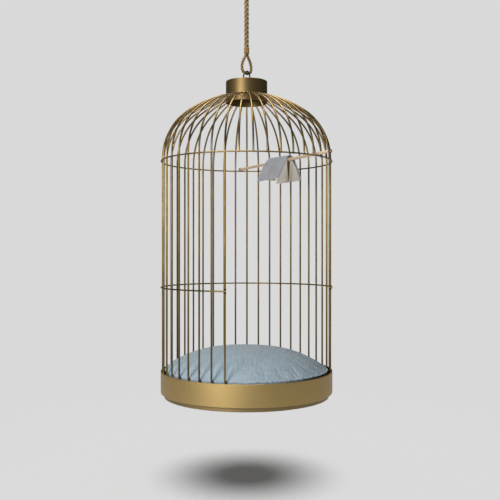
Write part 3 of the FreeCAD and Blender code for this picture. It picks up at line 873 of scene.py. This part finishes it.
def make_cushion():
    pad = cushion_form()
    remeshed(pad, voxel=0.008)
    co = inflated(pad, pressure=3.0, frames_run=20, cap=0.012)
    pad.data.vertices.foreach_set("co", shaped_pad(co).ravel())
    pad.data.update()
    smooth = pad.modifiers.new("smooth", "SUBSURF")
    smooth.levels = smooth.render_levels = 1
    baked(pad)
    pad.data.polygons.foreach_set("use_smooth", [True] * len(pad.data.polygons))
    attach(pad, "cushion")
    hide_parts("cushion")
    turns = [2 * math.pi * k / 144 for k in range(145)]
    welt_r, cord_r, welt_z = 0.4625, 0.0035, cushion_low.z + 0.024
    line = [(welt_r * math.cos(t), welt_r * math.sin(t), welt_z) for t in turns]
    welt = piece("cushion_welt", *tube(line, cord_r, 10), CUSHION_CLOTH)
    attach(welt, "cushion")


def shaped_pad(co):
    """The filled pad settled in its seat: flat below, clear of the rods, fuller on its left."""
    co = co.copy()
    r = np.hypot(co[:, 0], co[:, 1])
    over = np.maximum(r - PAD_R, 0)
    co[:, :2] *= ((r - over) / np.maximum(r, 1e-9))[:, None]
    above = np.clip((co[:, 2] - RIM_Z) / 0.03, 0, 1)
    side = -co[:, 0] / PAD_R
    co[:, 2] += above * 0.004 * side * np.clip(r / PAD_R, 0, 1) * 2
    co[:, 2] = np.maximum(co[:, 2], cushion_low.z)
    return co


make_cushion()


# ---- perch and book ----
ALONG = unit(PERCH_FRONT - PERCH_BACK)
ASIDE = np.cross(UP, ALONG)


def at_perch(along, side, z):
    return PERCH_BACK + ALONG * along + ASIDE * side + UP * z


def bent(control, count):
    """Points along a smooth curve through (side, height) control points."""
    control = np.array(control, float)
    gaps = np.linalg.norm(np.diff(control, axis=0), axis=1)
    knots = np.concatenate([[0], np.cumsum(gaps)]) / gaps.sum()
    slopes = np.gradient(control, knots, axis=0)
    out = []
    for t in np.linspace(0, 1, count):
        k = min(np.searchsorted(knots, t, side="right") - 1, len(knots) - 2)
        h = knots[k + 1] - knots[k]
        u = (t - knots[k]) / h
        out.append((2 * u ** 3 - 3 * u ** 2 + 1) * control[k] + (u ** 3 - 2 * u ** 2 + u) * h * slopes[k]
                   + (-2 * u ** 3 + 3 * u ** 2) * control[k + 1] + (u ** 3 - u ** 2) * h * slopes[k + 1])
    return np.array(out)


def slab(line, thick, start, end, rows, sag=None):
    """A sheet of some thickness whose section is a line, run along the perch from start to end."""
    ahead = np.gradient(line, axis=0)
    normal = np.stack([-ahead[:, 1], ahead[:, 0]], axis=1)
    normal /= np.linalg.norm(normal, axis=1)[:, None]
    n = len(line)
    verts, faces = [], []
    for face_side in (0.5, -0.5):
        for j in range(rows + 1):
            v = j / rows
            for i, (s, z) in enumerate(line + normal * thick * face_side):
                drop = sag(i / (n - 1), v) if sag else (0.0, 0.0)
                verts.append(at_perch(start + (end - start) * v, s + drop[0], z + drop[1]))
    layer = n * (rows + 1)
    for j in range(rows):
        for i in range(n - 1):
            a = j * n + i
            faces.append((a, a + 1, a + n + 1, a + n))
            b = layer + a
            faces.append((b, b + n, b + n + 1, b + 1))
    rim = list(range(n))
    rim += [j * n + n - 1 for j in range(1, rows + 1)]
    rim += [rows * n + i for i in range(n - 2, -1, -1)]
    rim += [j * n for j in range(rows - 1, 0, -1)]
    for a, b in zip(rim, rim[1:] + rim[:1]):
        faces.append((a, layer + a, layer + b, b))
    return verts, faces


def make_perch():
    """A peeled stick, not quite even, with a dark turned cap on each end."""
    length = float(np.linalg.norm(PERCH_FRONT - PERCH_BACK))
    stations = np.linspace(0.0, length, 120)
    radii = PERCH_R * (0.975 + 0.012 * np.sin(stations * 21.0) + 0.010 * np.sin(stations * 57.0 + 1.0))
    stick = piece("perch_stick", *tube([at_perch(t, 0.0, 0.0) for t in stations], radii, 24), PERCH_WOOD)
    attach(stick, "perch")
    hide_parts("perch")
    rings, plugs = [], []
    for at, way in ((PERCH_BACK, -ALONG), (PERCH_FRONT, ALONG)):
        rings.append(lathe([(0.0086, -0.0064), (0.0102, -0.0064), (0.0105, -0.0056), (0.0105, 0.0008),
                            (0.0101, 0.0020), (0.0090, 0.0025), (0.0070, 0.0024), (0.0062, 0.0018),
                            (0.0062, 0.0006), (0.0086, 0.0004)], at, way, 40))
        plugs.append(lathe([(0.0001, 0.0004), (0.0001, 0.0016), (0.0035, 0.0015), (0.0064, 0.0010), (0.0064, 0.0004)],
                           at, way, 40))
    for name, parts, material in (("perch_cap_rings", rings, CAP_WOOD), ("perch_cap_centres", plugs, END_GRAIN)):
        made = piece(name, *joined(parts), material)
        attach(made, "perch")
        if parts is rings:
            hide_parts("perch_end_caps")


make_perch()

# the cover's section at its far and near ends, and where the leaves' free edges lie, about the perch's line
COVER_FAR = [(-0.0852, -0.1152), (-0.0631, -0.0597), (-0.0520, -0.0370), (-0.0367, -0.0123), (-0.0185, 0.0118),
             (0.0040, 0.0325), (0.0180, 0.0300), (0.0330, 0.0120), (0.0500, -0.0260), (0.0660, -0.0700),
             (0.0800, -0.1180)]
COVER_NEAR = [(-0.0815, -0.1112), (-0.0610, -0.0730), (-0.0436, -0.0410), (-0.0260, -0.0090), (-0.0092, 0.0205),
              (0.0010, 0.0235), (0.0130, 0.0225), (0.0300, 0.0070), (0.0480, -0.0280), (0.0660, -0.0710),
              (0.0840, -0.1180)]
COVER_POINTS = 61
LEAVES_A_SIDE = 30
LEAF_REACH = 0.068
LEAF_FAR_Z = -0.103
LEAF_NEAR_Z = -0.134
LEAF_TILT = 0.20


def make_cover(end):
    far, near = bent(COVER_FAR, COVER_POINTS), bent(COVER_NEAR, COVER_POINTS)

    def lean(u, v):
        return (near - far)[round(u * (COVER_POINTS - 1))] * v

    cover = piece("book_boards", *slab(far, 0.0030, BOOK_START, end, 12, lean), BOOK_CLOTH)
    bevel = cover.modifiers.new("edges", "BEVEL")
    bevel.width = 0.0008
    bevel.segments = 2
    bevel.limit_method = "ANGLE"
    bevel.angle_limit = math.radians(50)
    baked(cover)
    cover.data.polygons.foreach_set("use_smooth", [True] * len(cover.data.polygons))
    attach(cover, "book")
    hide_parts("book_cover")


def leaf_tip(way, t):
    """How far to its side a leaf's free edge lies. t is 0 at the middle and 1 at the board."""
    return way * (0.003 + LEAF_REACH * t ** 0.9)


def leaf_section(way, t):
    """One leaf from the spine, past the perch, to its free edge."""
    root = (way * (0.0010 + 0.0070 * t), 0.0160 - 0.0010 * t)
    past = (way * (0.0102 + 0.0048 * t), 0.0045)
    knee = (way * (0.0112 + 0.034 * t ** 1.1), -0.042 - 0.004 * (1 - t))
    return bent([root, past, knee, (leaf_tip(way, t), LEAF_FAR_Z)], 16)


def make_leaves():
    """Leaves that fan out either side of the perch. They droop towards the near end, most on the left."""
    parts, leaf_shades_and_tones = [], []
    for way in (-1, 1):
        for k in range(LEAVES_A_SIDE):
            t = k / (LEAVES_A_SIDE - 1)
            wave = random.uniform(-0.0022, 0.0022) * (1 - t)
            phase = random.uniform(0, 6.3)
            droop = LEAF_NEAR_Z + LEAF_TILT * leaf_tip(way, t) - LEAF_FAR_Z
            power = 9 if way < 0 else 4
            slide = -0.018 * t if way < 0 else 0.006 * t

            def sag(u, v, wave=wave, phase=phase, droop=droop, power=power, slide=slide):
                near = v ** power * u ** 3
                return (wave * u * u * math.sin(2.6 * v + phase) + slide * near, droop * near)

            start = BOOK_START + 0.005 + random.uniform(0, 0.0006)
            sheet = slab(leaf_section(way, t), 0.0009, start, start + BOOK_LENGTH - 0.008, 18, sag)
            parts.append(sheet)
            # painted shade: the leaves in the middle of the fan are darker, and so are the outermost ones on the
            # right; the random part is the paper's own tone
            base = 0.26 + 0.62 * min(1.0, t / 0.38) - (0.30 * max(0.0, t - 0.80) / 0.20 if way > 0 else 0.0)
            leaf_shades_and_tones.extend([min(1.0, max(0.0, base + random.uniform(-0.12, 0.10)))] * len(sheet[0]))
    leaves = piece("book_pages", *joined(parts), PAPER)
    tone = leaves.data.attributes.new("leaf_shade_and_tone", "FLOAT", "POINT")
    tone.data.foreach_set("value", leaf_shades_and_tones)
    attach(leaves, "book")
    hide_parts("book_leaves")


make_cover(BOOK_START + BOOK_LENGTH)
make_leaves()


# ---- floor, world and lamps ----
def flat_disc(radius, z, sides):
    turns = [2 * math.pi * k / sides for k in range(sides)]
    return [(radius * math.cos(t), radius * math.sin(t), z) for t in turns], [tuple(range(sides))]


def make_floor():
    """A pale floor that fades into the backdrop."""
    radius, fade_from, fade_to = 3.2, 0.9, 3.0
    floor = piece("floor", *flat_disc(radius, FLOOR_Z, 96), smooth=False)
    p = Paint("floor", (0.62, 0.62, 0.62), 0.9)
    p.set("Specular IOR Level", 0.0)
    p.set("Emission Color", (1, 1, 1, 1))
    p.set("Emission Strength", FLOOR_GLOW)
    x, y, _ = p.xyz()
    away = p.far(x, y)
    fade = p.node("ShaderNodeMapRange", Value=away)
    fade.interpolation_type = "SMOOTHSTEP"
    for socket, number in (("From Min", fade_from), ("From Max", fade_to), ("To Min", 1.0), ("To Max", 0.0)):
        fade.inputs[socket].default_value = number
    p.link(fade.outputs["Result"], p.shader.inputs["Alpha"])
    floor.data.materials.append(p.material)
    return floor


def make_world():
    """What the camera sees is plain grey. What the metal reflects has a pale lower half and a dim upper half."""
    world = bpy.data.worlds.new("studio")
    scene.world = world
    world.use_nodes = True
    tree = world.node_tree
    tree.nodes.clear()
    add = tree.nodes.new
    where = add("ShaderNodeTexCoord")
    split = add("ShaderNodeSeparateXYZ")
    height = add("ShaderNodeMapRange")
    height.interpolation_type = "SMOOTHSTEP"
    for socket, number in (("From Min", -0.16), ("From Max", 0.06), ("To Min", 0.0), ("To Max", 1.0)):
        height.inputs[socket].default_value = number
    ramp = add("ShaderNodeValToRGB")
    for element, grey in zip(ramp.color_ramp.elements, (LIT_BELOW, LIT_ABOVE)):
        element.color = (grey, grey, grey, 1)
    lit, seen, pick = add("ShaderNodeBackground"), add("ShaderNodeBackground"), add("ShaderNodeMixShader")
    ray, out = add("ShaderNodeLightPath"), add("ShaderNodeOutputWorld")
    seen.inputs["Color"].default_value = (BACKDROP, BACKDROP, BACKDROP, 1)
    for source, target in ((where.outputs["Generated"], split.inputs[0]),
                           (split.outputs["Z"], height.inputs["Value"]),
                           (height.outputs["Result"], ramp.inputs["Fac"]),
                           (ramp.outputs["Color"], lit.inputs["Color"]),
                           (ray.outputs["Is Camera Ray"], pick.inputs["Fac"]),
                           (lit.outputs[0], pick.inputs[1]),
                           (seen.outputs[0], pick.inputs[2]),
                           (pick.outputs[0], out.inputs["Surface"])):
        tree.links.new(source, target)


def lamp(name, azimuth, elevation, distance, size, power, target_z=-1.9, size_y=None):
    """A soft light at an azimuth from the front towards +X, aimed at the seat's axis."""
    data = bpy.data.lights.new(name, "AREA")
    data.energy = power
    data.shape = "RECTANGLE"
    data.size = size
    data.size_y = size_y or size
    made = bpy.data.objects.new(name, data)
    a, e = math.radians(azimuth), math.radians(elevation)
    target = Vector((0, 0, target_z))
    way = Vector((math.sin(a) * math.cos(e), -math.cos(a) * math.cos(e), math.sin(e)))
    made.location = target + way * distance
    made.rotation_euler = (-way).to_track_quat("-Z", "Y").to_euler()
    made.visible_camera = False
    scene.collection.objects.link(made)
    return made


def linked(name, items, state):
    """A collection of the items for a lamp's light or shadow."""
    made = bpy.data.collections.new(name)
    for item in items:
        made.objects.link(item)
    for entry in made.collection_objects:
        entry.light_linking.link_state = state
    return made


def floor_light(floor):
    """An even light for the floor alone, and the soft shadow of a disc under the seat."""
    data = bpy.data.lights.new("floor_light", "SUN")
    data.energy = FLOOR_SUN
    data.angle = math.radians(54)
    made = bpy.data.objects.new("floor_light", data)
    scene.collection.objects.link(made)
    disc = piece("shadow_disc", *flat_disc(SHADOW_R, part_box("plinth_ring")[0].z, 64), DARK_STEEL)
    disc.visible_camera = disc.visible_diffuse = disc.visible_glossy = False
    made.light_linking.receiver_collection = linked("floor_only", [floor], "INCLUDE")
    made.light_linking.blocker_collection = linked("disc_only", [disc], "INCLUDE")
    return disc


def spare(made, items):
    """The lamp doesn't light these. They still cast their shadows in it."""
    made.light_linking.receiver_collection = linked(made.name + "_spares", items, "EXCLUDE")


# these stand so near the top lamp that it would burn them out
UP_HIGH = ["ceiling_plate", "swivel_housing", "swivel_eye", "shackle_bow", "shackle_pin", "thimble"]

FLOOR = make_floor()
make_world()
SHADOW_DISC = floor_light(FLOOR)
KEY = lamp("key", -31, 12, 4.2, 1.3, 130, size_y=1.0)
TOP = lamp("top", -90, 86, 3.6, 2.0, 72, target_z=-2.6)
spare(KEY, [FLOOR])
spare(TOP, [FLOOR] + [NODES[name] for name in UP_HIGH])
for made in (KEY, TOP):
    made.light_linking.blocker_collection = linked(made.name + "_clear", [SHADOW_DISC], "EXCLUDE")

scene.view_settings.view_transform = "Standard"
scene.view_settings.look = "None"
